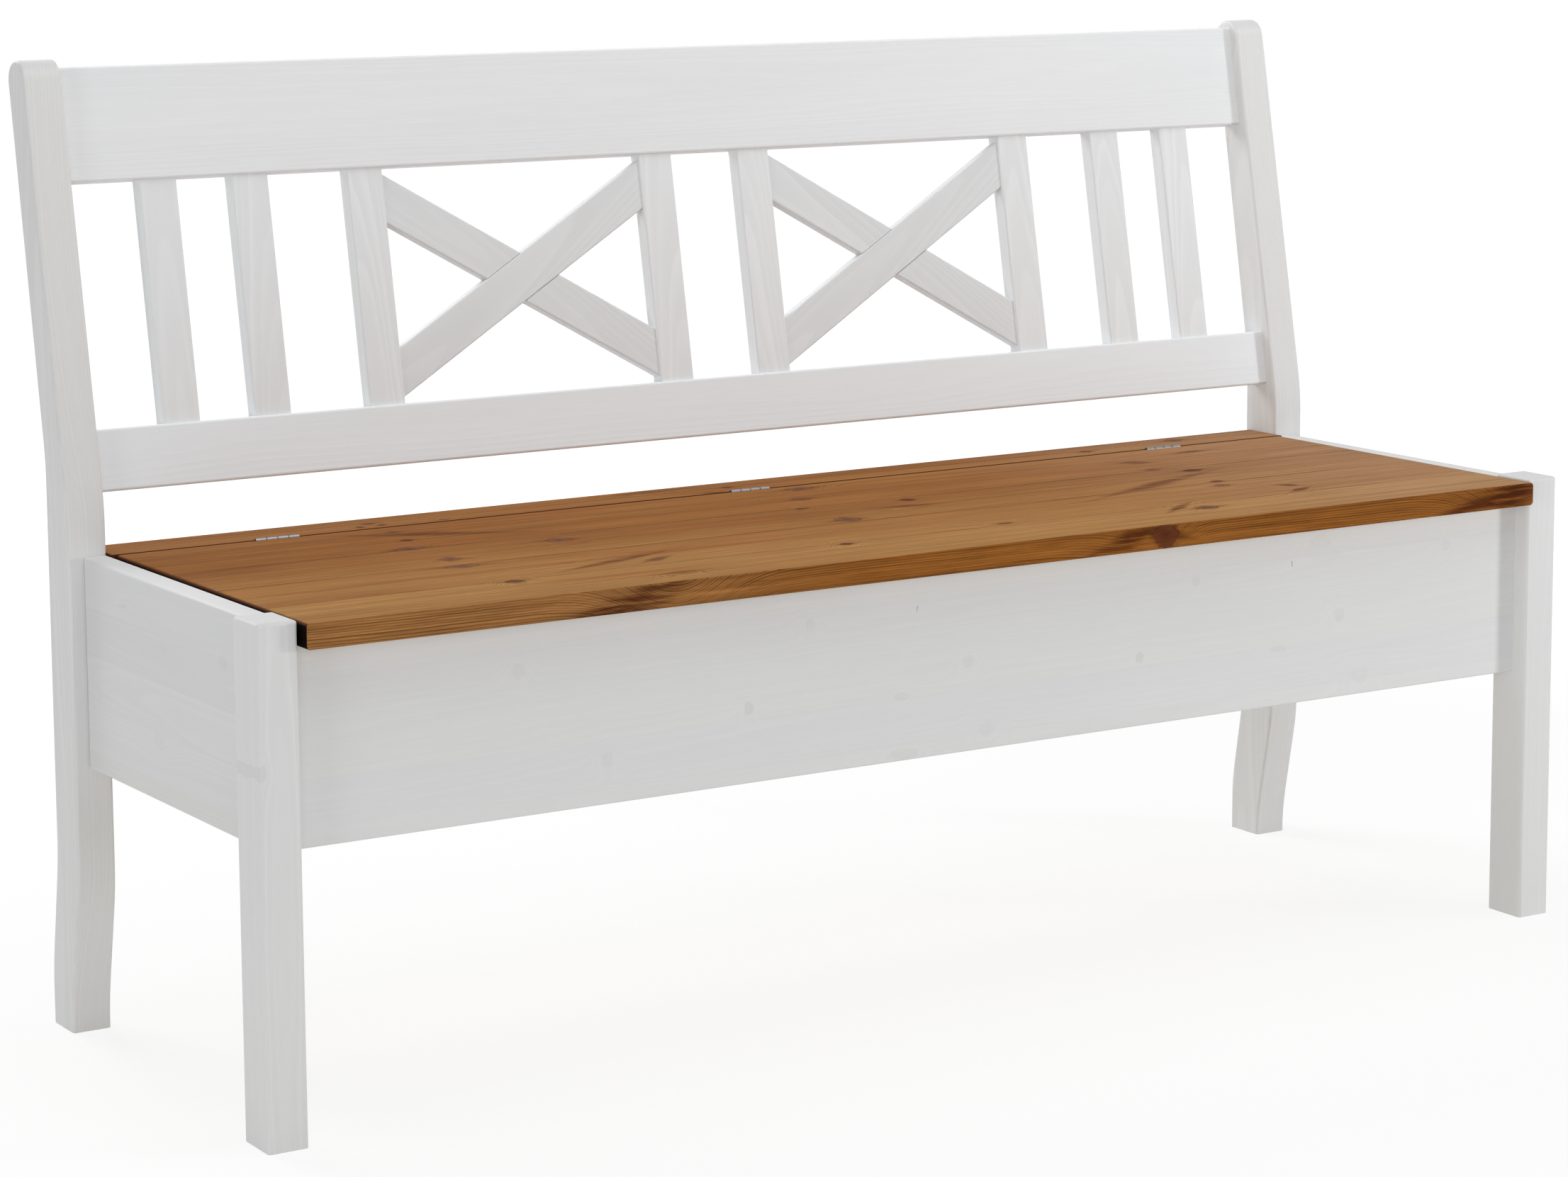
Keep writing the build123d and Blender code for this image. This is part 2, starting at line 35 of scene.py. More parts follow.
CAMERA_ELEVATION = 8.103
CAMERA_ROLL = -0.310
CAMERA_SHIFT_Y = -0.1

# Light levels
AMBIENT = 0.22
FLOOR_ALBEDO = 0.9
FLOOR_SHADOW_SHARE = 0.16
FLOOR_RADIUS = 14.0
FLOOR_NEAR = 1.2
FLOOR_FAR = 3.0

# Directions of the bench
ALONG_X = Vector((1, 0, 0))
ALONG_Y = Vector((0, 1, 0))
ALONG_Z = Vector((0, 0, 1))

# Lean of the backrest, and the direction up it
LEAN = math.radians(10.6)
UP_LEAN = Vector((0, math.sin(LEAN), math.cos(LEAN)))

# Finishes, as linear colours
PAINT = (0.750, 0.754, 0.757)
PAINT_WARM = (0.758, 0.758, 0.748)
PAINT_GREY_KNOT = (0.50, 0.50, 0.49)
PAINT_CRACK = (0.06, 0.055, 0.05)
RAIL_TINT = (0.985, 0.998, 1.020)
# Painted light: the cooler tints of the lower rail, the slats and the bars cancel the warm light that the
# lid throws on them
LOWER_RAIL_BOUNCE_CANCEL_TINT = (0.975, 1.004, 1.034)
BACKREST_BOUNCE_CANCEL_TINT = (0.985, 1.000, 1.018)
STAIN_EARLY = (0.402, 0.212, 0.070)
STAIN_LATE = (0.175, 0.058, 0.012)
STAIN_RED = (0.330, 0.122, 0.034)
# Painted shade: the stain turns darker and redder towards the lid's rear, between these places across it in
# metres
STAIN_REAR_SHADE = (0.222, 0.070, 0.011)
STAIN_REAR_SHADE_FROM = -0.23
STAIN_REAR_SHADE_TO = 0.02
STAIN_SEAM = (0.045, 0.013, 0.004)
JOINT_REACH = 0.004
STAIN_KNOT_DARK = (0.080, 0.022, 0.010)
STAIN_KNOT_PALE = (0.300, 0.150, 0.095)
STAIN_KNOT_RED = (0.150, 0.044, 0.013)
STAIN_TAIL = (0.100, 0.026, 0.005)
STAIN_EDGE_TAIL = (0.055, 0.008, 0.002)
# Dark end grain of the stain, with painted shade: black below the top, and dark brown on the top few
# millimetres where light would fall
STAIN_END_SHADED = (0.002, 0.0006, 0.0004)
STAIN_END_LIT = (0.090, 0.024, 0.006)
# Painted highlight: the stain turns paler towards the right end, between these places along it in metres
STAIN_RIGHT_HIGHLIGHT = (0.440, 0.270, 0.158)
STAIN_RIGHT_HIGHLIGHT_FROM = 0.15
STAIN_RIGHT_HIGHLIGHT_TO = 0.75
STAIN_EDGE_EARLY = (0.375, 0.172, 0.056)
STAIN_EDGE_RIGHT = (0.305, 0.112, 0.021)
STAIN_EDGE_FROM = -0.45
STAIN_EDGE_TO = -0.10
STAIN_EDGE_LATE = (0.075, 0.022, 0.004)
BARE_EARLY = (0.790, 0.690, 0.540)
BARE_LATE = (0.660, 0.510, 0.350)
BARE_KNOT = (0.260, 0.120, 0.055)
ZINC = (0.23, 0.225, 0.23)
ZINC_CLOUD = (0.19, 0.19, 0.20)

# Tone of single pieces against their plain finish
TOP_RAIL_TONE = 1.08
# Painted light: the lower rail is painted lighter to lift the shade and dark bounce that the lid leaves on
# it
LOWER_RAIL_SHADE_LIFT = 1.12
SLAT_TONE = 1.055
BAR_TONE = 0.97
POST_TONE = 0.955
END_PANEL_TONE = 0.955
SEAT_BOARD_TONE = 1.03
LID_BATTEN_TONE = 0.9

# How far the growth rings show through the paint
PAINT_GRAIN = 0.06
LEFT_LEG_GRAIN = 0.05
RIGHT_LEG_GRAIN = 0.025
PANEL_GRAIN = 0.03
FRONT_PANEL_GRAIN = 0.02
RAIL_GRAIN = 0.02

# Growth rings: how far they run out per metre of board, and their spacing and sway in metres
RING_SPACING = 0.003
RING_TAPER = 0.01
RING_SWAY = 0.016
LEG_TAPER = 0.006
POST_TAPER = 0.012
RAIL_TAPER = 0.004
SLAT_TAPER = 0.03
BAR_TAPER = 0.02
LID_RING_SPACING = 0.0015
LID_TAPER = 0.004
LID_SWAY = 0.006

# Glued boards: width of a stave, and where the first one starts across the board, in metres
END_PANEL_STAVES = (0.0465, 0.2845)
PANEL_STAVES = (0.0455, 0.2800)
LID_STAVES = (0.050, -0.237)
FLOOR_STAVES = (0.06, -0.2)
SEAT_BOARD_STAVE = 0.0293

# How strongly the seam at the start of each stave shows
LID_SEAMS = (0.25, 0.55, 0.15, 0.95, 0.30, 1.0, 0.6, 0.25)
PANEL_SEAMS = (0.4, 0.8, 0.5, 0.7, 0.4)
SEAT_BOARD_SEAMS = (0, 0.7, 0)
FLOOR_SEAMS = (1, 1, 1, 1, 1, 1)

# First random seed of each kind of piece
SEEDS = {
    "leg": 3, "post": 11, "end_panel": 21, "front_panel": 31, "rear_panel": 32, "rail": 41, "slat": 50,
    "lid": 81, "seat_board": 83, "lid_batten": 85, "floor": 91, "floor_batten": 93, "dowels": 96,
}
CROSS_SEEDS = (70, 75)
SLAT_COUNT = 8

# Seeds of the knots on boards that the photograph doesn't show
RIGHT_PANEL_KNOT_SEED = 5
REAR_PANEL_KNOT_SEED = 8
FLOOR_KNOT_SEED = 9

# Shape of a knot's outline: 2 is an ellipse, and less comes closer to a pointed lens
LENS_POWER = 1.75
ROUND_POWER = 2.0

# A knot, with nought in its middle and one at its border: where its core, pale core and rim fade in and out
KNOT_CORE = (1.0, 0.88)
KNOT_PALE = (0.96, 0.82)
KNOT_RIM = 0.97
KNOT_RIM_WIDTH = (0.17, 0.04)

# How fast a knot's lift and tails fall off, per half length and half width of it, and where the tails fade
KNOT_LIFT_FALL = (0.45, 0.55, 0)
KNOT_TAIL_FALL = (0.28, 0.75)
KNOT_TAIL = (1.0, 0.2)

# Rings inside a knot: their phase at its border, in radians, and how far they show
KNOT_RING_RATE = 24.0
KNOT_RING_DEPTH = 0.25

# Noises of a knot: stretch along, across and through the board, detail, and the step that makes it patchy
KNOT_WOBBLE = ((90, 130, 110), 3.0)
KNOT_PATCHES = {
    "Scratches": ((40, 420, 420), 2.0, (0.30, 0.60, 0.45, 1.0)),
    "Rim": ((70, 90, 70), 1.0, (0.35, 0.60, 0.25, 1.0)),
    "Tails": ((18, 230, 230), 2.0, (0.34, 0.58, 0.3, 1.0)),
}

# Growth rings: stretch of the noises that bend them, height of their fine ripple in metres, their unevenness
# in rings, the parts of a ring over which it darkens and breaks off, and the strength of the palest one
SWAY_STRETCH = (1.6, 9, 9)
RIPPLE_STRETCH = (9, 60, 60)
UNEVEN_STRETCH = (120, 1, 1)
RIPPLE = 0.0018
UNEVEN = 2.4
RING_DARKENS = (0.25, 0.9)
RING_BREAKS = (1.0, 0.92)
PALEST_RING = 0.35

# Staves: how far the wood of one is moved against the next, in metres, and the half width of a seam
STAVE_ALONG = 7.0
STAVE_SIDEWAYS = 0.09
STAVE_DEPTH = 0.045
STAVE_DEPTH_RANGE = 0.04
STAVE_SEED_STEP = 17.0
SEAM_OUTER = 0.0018
SEAM_INNER = 0.0005

# Noises of the wood: stretch along, across and through the board, detail and roughness
WOOD_NOISES = {
    "Grain": ((90, 650, 650), 3.0, 0.7),
    "Fibre": ((16, 520, 520), 4.0, 0.6),
    "Streaks": ((7, 170, 170), 3.0, 0.65),
    "Bands": ((1.1, 85, 85), 3.0, 0.6),
    "Blotch": ((2.2, 17, 17), 3.0, 0.55),
}

# Brightness at the low and the high end of each noise, and of the staves' own tones
PAINT_SPREAD = {"Fibre": (0.972, 1.028), "Blotch": (0.965, 1.035), "Tone": (0.988, 1.012)}
STAIN_SPREAD = {
    "Grain": (0.84, 1.16),
    "Streaks": (0.62, 1.38),
    "Bands": (0.72, 1.28),
    "Blotch": (1.16, 0.84),
}
STAIN_STAVE_SPREAD = (0.93, 1.07)
BARE_SPREAD = {"Fibre": (0.92, 1.08), "Blotch": (0.90, 1.10)}

# How far the fibres vary the stain's brightness, on the faces and on the lid's front edge
STAIN_FIBRE = 0.28
STAIN_EDGE_FIBRE = 0.54

# How far each colour covers the one before it
STAIN_RINGS_SHARE = 0.6
STAIN_WARM_SHARE = 0.25
STAIN_BLOTCH_SHARE = 0.6
STAIN_REAR_SHADE_SHARE = 0.6
STAIN_RIGHT_HIGHLIGHT_SHARE = 0.5
STAIN_JOINT_SHARE = 0.9
BARE_RINGS_SHARE = 0.7
PAINT_END_SHADE = 0.10

# Where the stain's red blotches begin and end in their noise, and the depth below the lid's top, in metres,
# over which the dark end grain goes from its painted lit top to painted shade below
STAIN_BLOTCH_RANGE = (0.42, 0.72)
STAIN_END_SHADE_RANGE = (-0.0012, -0.0032)

# Gloss: roughness at the low and the high end of the fibres, and the level of reflection
PAINT_ROUGHNESS = (0.50, 0.62)
PAINT_REFLECTION = 0.35
STAIN_ROUGHNESS = (0.62, 0.78)
STAIN_REFLECTION = 0.04
BARE_ROUGHNESS = (0.60, 0.75)
BARE_REFLECTION = 0.3
ZINC_ROUGHNESS = (0.24, 0.42)
ZINC_BRUSH_SPREAD = (0.9, 1.1)

# Fine relief: height in metres and strength
PAINT_BUMP = (0.0004, 0.25)
STAIN_BUMP = (0.0005, 0.5)
BARE_BUMP = (0.0004, 0.3)
ZINC_BUMP = (0.0001, 0.2)

# Marks drawn over a finish, in order: how far each covers, its colour, and its colour on the lid's front;
# on paint a knot's pale core stands for a crack
Mark = namedtuple("Mark", "share face edge", defaults=(None,))
PAINT_MARKS = {
    "Rim": Mark(0.10, PAINT_GREY_KNOT),
    "Dark": Mark(0.22, PAINT_GREY_KNOT),
    "Seam": Mark(0.04, PAINT_GREY_KNOT),
    "Pale": Mark(0.8, PAINT_CRACK),
}
STAIN_MARKS = {
    "Tails": Mark(0.9, STAIN_TAIL, STAIN_EDGE_TAIL),
    "Dark": Mark(0.75, STAIN_KNOT_DARK),
    "Pale": Mark(0.95, STAIN_KNOT_PALE, STAIN_KNOT_RED),
    "Rim": Mark(0.7, STAIN_KNOT_DARK),
    "Seam": Mark(0.8, STAIN_SEAM),
}
BARE_MARKS = {"Dark": Mark(0.8, BARE_KNOT), "Seam": Mark(0.4, BARE_KNOT)}

Knot = namedtuple("Knot", "along across length width turn core pale dark lift", defaults=(0.8, 10))
Board = namedtuple(
    "Board", "along across origin seed stave stave_start spacing taper sway knots edge_knots seams power")


class Tree:
    """Adds shader nodes to one node tree and wires them as they are made."""

    def __init__(self, tree):
        self.tree = tree

    def feed(self, socket, value):
        if isinstance(value, bpy.types.NodeSocket):
            self.tree.links.new(value, socket)
        else:
            socket.default_value = value

    def add(self, kind, inputs=None, **settings):
        node = self.tree.nodes.new(kind)
        for name, value in settings.items():
            setattr(node, name, value)
        for name, value in (inputs or {}).items():
            self.feed(node.inputs[name], value)
        return node

    def math(self, operation, *values):
        node = self.add("ShaderNodeMath", operation=operation)
        for socket, value in zip(node.inputs, values):
            self.feed(socket, value)
        return node.outputs[0]

    def vector(self, operation, *values):
        node = self.add("ShaderNodeVectorMath", operation=operation)
        for socket, value in zip(node.inputs, values):
            self.feed(socket, value)
        return node

    def split(self, vector):
        return self.add("ShaderNodeSeparateXYZ", {"Vector": vector}).outputs

    def join(self, x, y, z):
        return self.add("ShaderNodeCombineXYZ", {"X": x, "Y": y, "Z": z}).outputs[0]

    def step(self, value, low, high, start=0.0, end=1.0):
        node = self.add("ShaderNodeMapRange", interpolation_type="SMOOTHSTEP")
        for name, given in (("Value", value), ("From Min", low), ("From Max", high),
                            ("To Min", start), ("To Max", end)):
            self.feed(node.inputs[name], given)
        return node.outputs[0]

    def span(self, value, low, high):
        node = self.add("ShaderNodeMapRange")
        for name, given in (("Value", value), ("To Min", low), ("To Max", high)):
            self.feed(node.inputs[name], given)
        return node.outputs[0]

    def noise(self, vector, stretch, detail=2.0, roughness=0.5):
        scaled = self.vector("MULTIPLY", vector, stretch).outputs[0]
        inputs = {"Vector": scaled, "Scale": 1.0, "Detail": detail, "Roughness": roughness}
        return self.add("ShaderNodeTexNoise", inputs).outputs[0]

    def random(self, number):
        return self.add("ShaderNodeTexWhiteNoise", {"W": number}, noise_dimensions="1D").outputs

    def mix(self, factor, a, b, blend="MIX"):
        node = self.add("ShaderNodeMix", data_type="RGBA", blend_type=blend)
        for socket, value in ((node.inputs[0], factor), (node.inputs[6], a), (node.inputs[7], b)):
            if isinstance(value, tuple):
                value = (*value, 1.0)
            self.feed(socket, value)
        return node.outputs[2]

    def scale(self, colour, value):
        grey = self.join(value, value, value)
        return self.mix(1.0, colour, grey, "MULTIPLY")


def new_group(name, inputs, outputs):
    """A shader node group with its sockets; returns the group, its tree and both end nodes."""
    group = bpy.data.node_groups.new(name, "ShaderNodeTree")
    for socket, kind in inputs:
        group.interface.new_socket(name=socket, in_out="INPUT", socket_type=kind)
    for socket in outputs:
        group.interface.new_socket(name=socket, in_out="OUTPUT", socket_type="NodeSocketFloat")
    tree = Tree(group)
    return group, tree, tree.add("NodeGroupInput").outputs, tree.add("NodeGroupOutput").inputs


VECTOR = "NodeSocketVector"
FLOAT = "NodeSocketFloat"
KNOT_SUMS = ("Lift", "Dark", "Pale", "Rim", "Tails")
WOOD_SUMS = ("Rings", *WOOD_NOISES)


def make_knot_group():
    """One knot, added to the knots before it: how it lifts the rings, its core, pale core, rim and tails."""
    inputs = [("Vector", VECTOR), ("Place", VECTOR), ("Radii", VECTOR)]
    inputs += [(name, FLOAT) for name in ("Turn", "Core", "Pale", "Dark", "Lift", "Power")]
    inputs += [(name + " In", FLOAT) for name in KNOT_SUMS]
    group, t, given, result = new_group("Knot", inputs, KNOT_SUMS)
    offset = t.vector("SUBTRACT", given["Vector"], given["Place"]).outputs[0]
    spun = {"Vector": offset, "Angle": given["Turn"]}
    turned = t.add("ShaderNodeVectorRotate", spun, rotation_type="Z_AXIS")
    near = t.vector("DIVIDE", turned.outputs[0], given["Radii"]).outputs[0]
    flat = t.vector("MULTIPLY", near, (1, 1, 0)).outputs[0]
    wobble = t.math("ADD", t.noise(given["Vector"], *KNOT_WOBBLE), 0.5)
    x, y, _ = t.split(t.vector("ABSOLUTE", flat).outputs[0])
    powers = t.math("ADD", t.math("POWER", x, given["Power"]), t.math("POWER", y, given["Power"]))
    patches = {}
    for name, (stretch, detail, steps) in KNOT_PATCHES.items():
        patches[name] = t.step(t.noise(given["Vector"], stretch, detail), *steps)
    # Nought in the middle of the knot and one at its border
    q = t.math("MULTIPLY", t.math("POWER", powers, t.math("DIVIDE", 1.0, given["Power"])), wobble)
    core = t.math("MULTIPLY", t.step(q, *KNOT_CORE), given["Core"])
    rings = t.math("MULTIPLY_ADD", t.math("SINE", t.math("MULTIPLY", q, KNOT_RING_RATE)), KNOT_RING_DEPTH, q)
    rings = t.math("MULTIPLY", rings, patches["Scratches"])
    pale = t.math("MULTIPLY", t.math("MULTIPLY", t.step(q, *KNOT_PALE), rings), given["Pale"])
    rim = t.step(t.math("ABSOLUTE", t.math("SUBTRACT", q, KNOT_RIM)), *KNOT_RIM_WIDTH)
    rim = t.math("MULTIPLY", rim, patches["Rim"])
    around = t.vector("LENGTH", t.vector("MULTIPLY", flat, KNOT_LIFT_FALL).outputs[0]).outputs["Value"]
    bell = t.math("EXPONENT", t.math("MULTIPLY", t.math("MULTIPLY", around, around), -1.0))
    length, width = KNOT_TAIL_FALL
    stretched = t.math("MULTIPLY_ADD", x, length, t.math("MULTIPLY", y, width))
    tails = t.math("MULTIPLY", t.step(stretched, *KNOT_TAIL), patches["Tails"])
    tails = t.math("MULTIPLY", tails, given["Dark"])
    t.feed(result["Lift"], t.math("MULTIPLY_ADD", bell, given["Lift"], given["Lift In"]))
    for name, value in (("Dark", core), ("Pale", t.math("MULTIPLY", pale, given["Core"])),
                        ("Rim", t.math("MULTIPLY", rim, given["Core"])), ("Tails", tails)):
        t.feed(result[name], t.math("MAXIMUM", value, given[name + " In"]))
    return group


def make_rings_group():
    """Growth rings round a pith beside the board, with fibres and broad blotches."""
    inputs = [("Vector", VECTOR), ("Spacing", FLOAT), ("Taper", FLOAT), ("Sway", FLOAT), ("Lift", FLOAT)]
    group, t, given, result = new_group("Growth rings", inputs, WOOD_SUMS)
    along, across, depth = t.split(given["Vector"])
    flat = t.join(0.0, across, depth)
    radius = t.vector("LENGTH", flat).outputs["Value"]
    sway = t.math("MULTIPLY", t.math("SUBTRACT", t.noise(given["Vector"], SWAY_STRETCH), 0.5), given["Sway"])
    ripple = t.math("MULTIPLY", t.math("SUBTRACT", t.noise(given["Vector"], RIPPLE_STRETCH), 0.5), RIPPLE)
    bent = t.math("ADD", t.math("ADD", radius, sway), t.math("ADD", ripple, given["Lift"]))
    bent = t.math("ADD", bent, t.math("MULTIPLY", along, given["Taper"]))
    uneven = t.math("MULTIPLY", t.noise(t.join(bent, 0.0, 0.0), UNEVEN_STRETCH, 1.0), UNEVEN)
    phase = t.math("ADD", t.math("DIVIDE", bent, given["Spacing"]), uneven)
    part = t.math("FRACT", phase)
    late = t.math("MULTIPLY", t.step(part, *RING_DARKENS), t.step(part, *RING_BREAKS))
    chance = t.random(t.math("FLOOR", phase))[0]
    strength = t.math("MULTIPLY_ADD", chance, 1.0 - PALEST_RING, PALEST_RING)
    t.feed(result["Rings"], t.math("MULTIPLY", late, strength))
    for name, (stretch, detail, roughness) in WOOD_NOISES.items():
        t.feed(result[name], t.noise(given["Vector"], stretch, detail, roughness))
    return group


KNOT_GROUP = make_knot_group()
RINGS_GROUP = make_rings_group()


def add_knots(t, vector, knots, power):
    """Chains one knot node for each knot and returns their sums."""
    sums = dict.fromkeys(KNOT_SUMS, 0.0)
    for knot in knots:
        node = t.add("ShaderNodeGroup", node_tree=KNOT_GROUP)
        t.feed(node.inputs["Vector"], vector)
        t.feed(node.inputs["Place"], (knot.along / 1000, knot.across / 1000, 0.0))
        t.feed(node.inputs["Radii"], (knot.length / 1000, knot.width / 1000, 1.0))
        t.feed(node.inputs["Turn"], math.radians(knot.turn))
        t.feed(node.inputs["Core"], knot.core)
        t.feed(node.inputs["Pale"], knot.pale)
        t.feed(node.inputs["Dark"], knot.dark)
        t.feed(node.inputs["Lift"], knot.lift / 1000)
        t.feed(node.inputs["Power"], power)
        for name in sums:
            t.feed(node.inputs[name + " In"], sums[name])
            sums[name] = node.outputs[name]
    return sums


def timber(t, board):
    """Wood of one board, worked out in the board's own directions; returns its sockets by name."""
    depth = board.along.cross(board.across)
    axes = Matrix((board.along, board.across, depth)).transposed()
    coords = t.add("ShaderNodeTexCoord").outputs
    mapping = t.add("ShaderNodeMapping", {"Vector": coords["Object"]}, vector_type="TEXTURE")
    mapping.inputs["Location"].default_value = board.origin
    mapping.inputs["Rotation"].default_value = axes.to_euler("XYZ")
    place = mapping.outputs[0]
    x, y, z = t.split(place)
    wood = add_knots(t, place, board.knots, board.power)
    normal = coords["Normal"]
    if board.edge_knots:
        front = t.step(t.vector("DOT_PRODUCT", normal, -board.across).outputs["Value"], 0.35, 0.8)
        on_edge = add_knots(t, t.join(x, z, y), board.edge_knots, ROUND_POWER)
        for name in KNOT_SUMS:
            kept = t.math("MULTIPLY", wood[name], t.math("SUBTRACT", 1.0, front))
            wood[name] = t.math("MULTIPLY_ADD", on_edge[name], front, kept)
        wood["Front"] = front
    if board.stave:
        counted = t.math("DIVIDE", t.math("SUBTRACT", y, board.stave_start), board.stave)
        number = t.math("FLOOR", counted)
        chance = t.split(t.random(t.math("ADD", number, board.seed * STAVE_SEED_STEP))[1])
        wood["Tone"] = chance[0]
        wood["Warm"] = chance[1]
        centre = t.math("MULTIPLY_ADD", t.math("ADD", number, 0.5), board.stave, board.stave_start)
        local = t.math("SUBTRACT", y, centre)
        sideways = t.math("MULTIPLY_ADD", t.math("SUBTRACT", chance[2], 0.5), STAVE_SIDEWAYS, local)
        deep = t.math("ADD", z, t.math("MULTIPLY_ADD", chance[0], STAVE_DEPTH_RANGE, STAVE_DEPTH))
        moved = t.join(t.math("MULTIPLY_ADD", chance[1], STAVE_ALONG, x), sideways, deep)
        gap = t.math("SUBTRACT", 0.5, t.math("ABSOLUTE", t.math("SUBTRACT", t.math("FRACT", counted), 0.5)))
        away = t.math("MULTIPLY", gap, board.stave)
        side = t.math("FLOOR", t.math("ADD", counted, 0.5))
        shown = 0.0
        for seam, strength in enumerate(board.seams):
            here = t.math("COMPARE", side, seam, 0.1)
            shown = t.math("MULTIPLY_ADD", here, strength, shown)
        broken = t.step(t.noise(place, (5, 12, 1), 2.0), 0.30, 0.62, 0.35, 1.0)
        shown = t.math("MULTIPLY", shown, broken)
        wood["Seam"] = t.math("MULTIPLY", t.step(away, SEAM_OUTER, SEAM_INNER), shown)
    else:
        rng = random.Random(board.seed)
        shift = Vector((rng.uniform(0, 9), rng.uniform(-0.02, 0.02), rng.uniform(0.05, 0.09)))
        moved = t.vector("ADD", place, shift).outputs[0]
        wood["Tone"] = 0.5
        wood["Warm"] = 0.5
        wood["Seam"] = 0.0
    rings = t.add("ShaderNodeGroup", node_tree=RINGS_GROUP)
    t.feed(rings.inputs["Vector"], moved)
    t.feed(rings.inputs["Spacing"], board.spacing)
    t.feed(rings.inputs["Taper"], board.taper)
    t.feed(rings.inputs["Sway"], board.sway)
    t.feed(rings.inputs["Lift"], wood["Lift"])
    for name in WOOD_SUMS:
        wood[name] = rings.outputs[name]
    facing = t.vector("DOT_PRODUCT", normal, board.along).outputs["Value"]
    wood["End"] = t.step(t.math("ABSOLUTE", facing), 0.30, 0.75)
    wood["Place"] = place
    return wood


def new_material(name):
    material = bpy.data.materials.new(name)
    material.use_nodes = True
    t = Tree(material.node_tree)
    shader = material.node_tree.nodes["Principled BSDF"]
    return material, t, shader


def add_bump(t, shader, height, distance, strength):
    bump = t.add("ShaderNodeBump", {"Height": height})
    bump.inputs["Distance"].default_value = distance
    bump.inputs["Strength"].default_value = strength
    t.feed(shader.inputs["Normal"], bump.outputs[0])


def shade(t, wood, level, spread):
    """The brightness so far, varied by each noise."""
    for name, (low, high) in spread.items():
        level = t.math("MULTIPLY", level, t.span(wood[name], low, high))
    return level


def add_marks(t, wood, colour, marks):
    """Knots, tails and seams, drawn over the colour so far."""
    for name, mark in marks.items():
        shown = mark.face
        if mark.edge and "Front" in wood:
            shown = t.mix(wood["Front"], mark.face, mark.edge)
        colour = t.mix(t.math("MULTIPLY", wood[name], mark.share), colour, shown)
    return colour


def painted(name, board, tone=1.0, tint=(1.0, 1.0, 1.0), grain=PAINT_GRAIN):
    """Thin white paint, which lets the pine's grain and knots show faintly."""
    material, t, shader = new_material(name)
    wood = timber(t, board)
    base = tuple(c * tone * k for c, k in zip(PAINT, tint))
    warm = tuple(c * tone * k for c, k in zip(PAINT_WARM, tint))
    colour = t.mix(wood["Warm"], base, warm)
    level = t.math("MULTIPLY_ADD", wood["Rings"], grain, 1.0 - grain / 3)
    level = shade(t, wood, level, PAINT_SPREAD)
    level = t.math("MULTIPLY", level, t.math("MULTIPLY_ADD", wood["End"], -PAINT_END_SHADE, 1.0))
    colour = add_marks(t, wood, t.scale(colour, level), PAINT_MARKS)
    t.feed(shader.inputs["Base Color"], colour)
    t.feed(shader.inputs["Roughness"], t.span(wood["Fibre"], *PAINT_ROUGHNESS))
    shader.inputs["Specular IOR Level"].default_value = PAINT_REFLECTION
    height = t.math("MULTIPLY_ADD", wood["Rings"], 0.5, wood["Fibre"])
    add_bump(t, shader, height, *PAINT_BUMP)
    return material


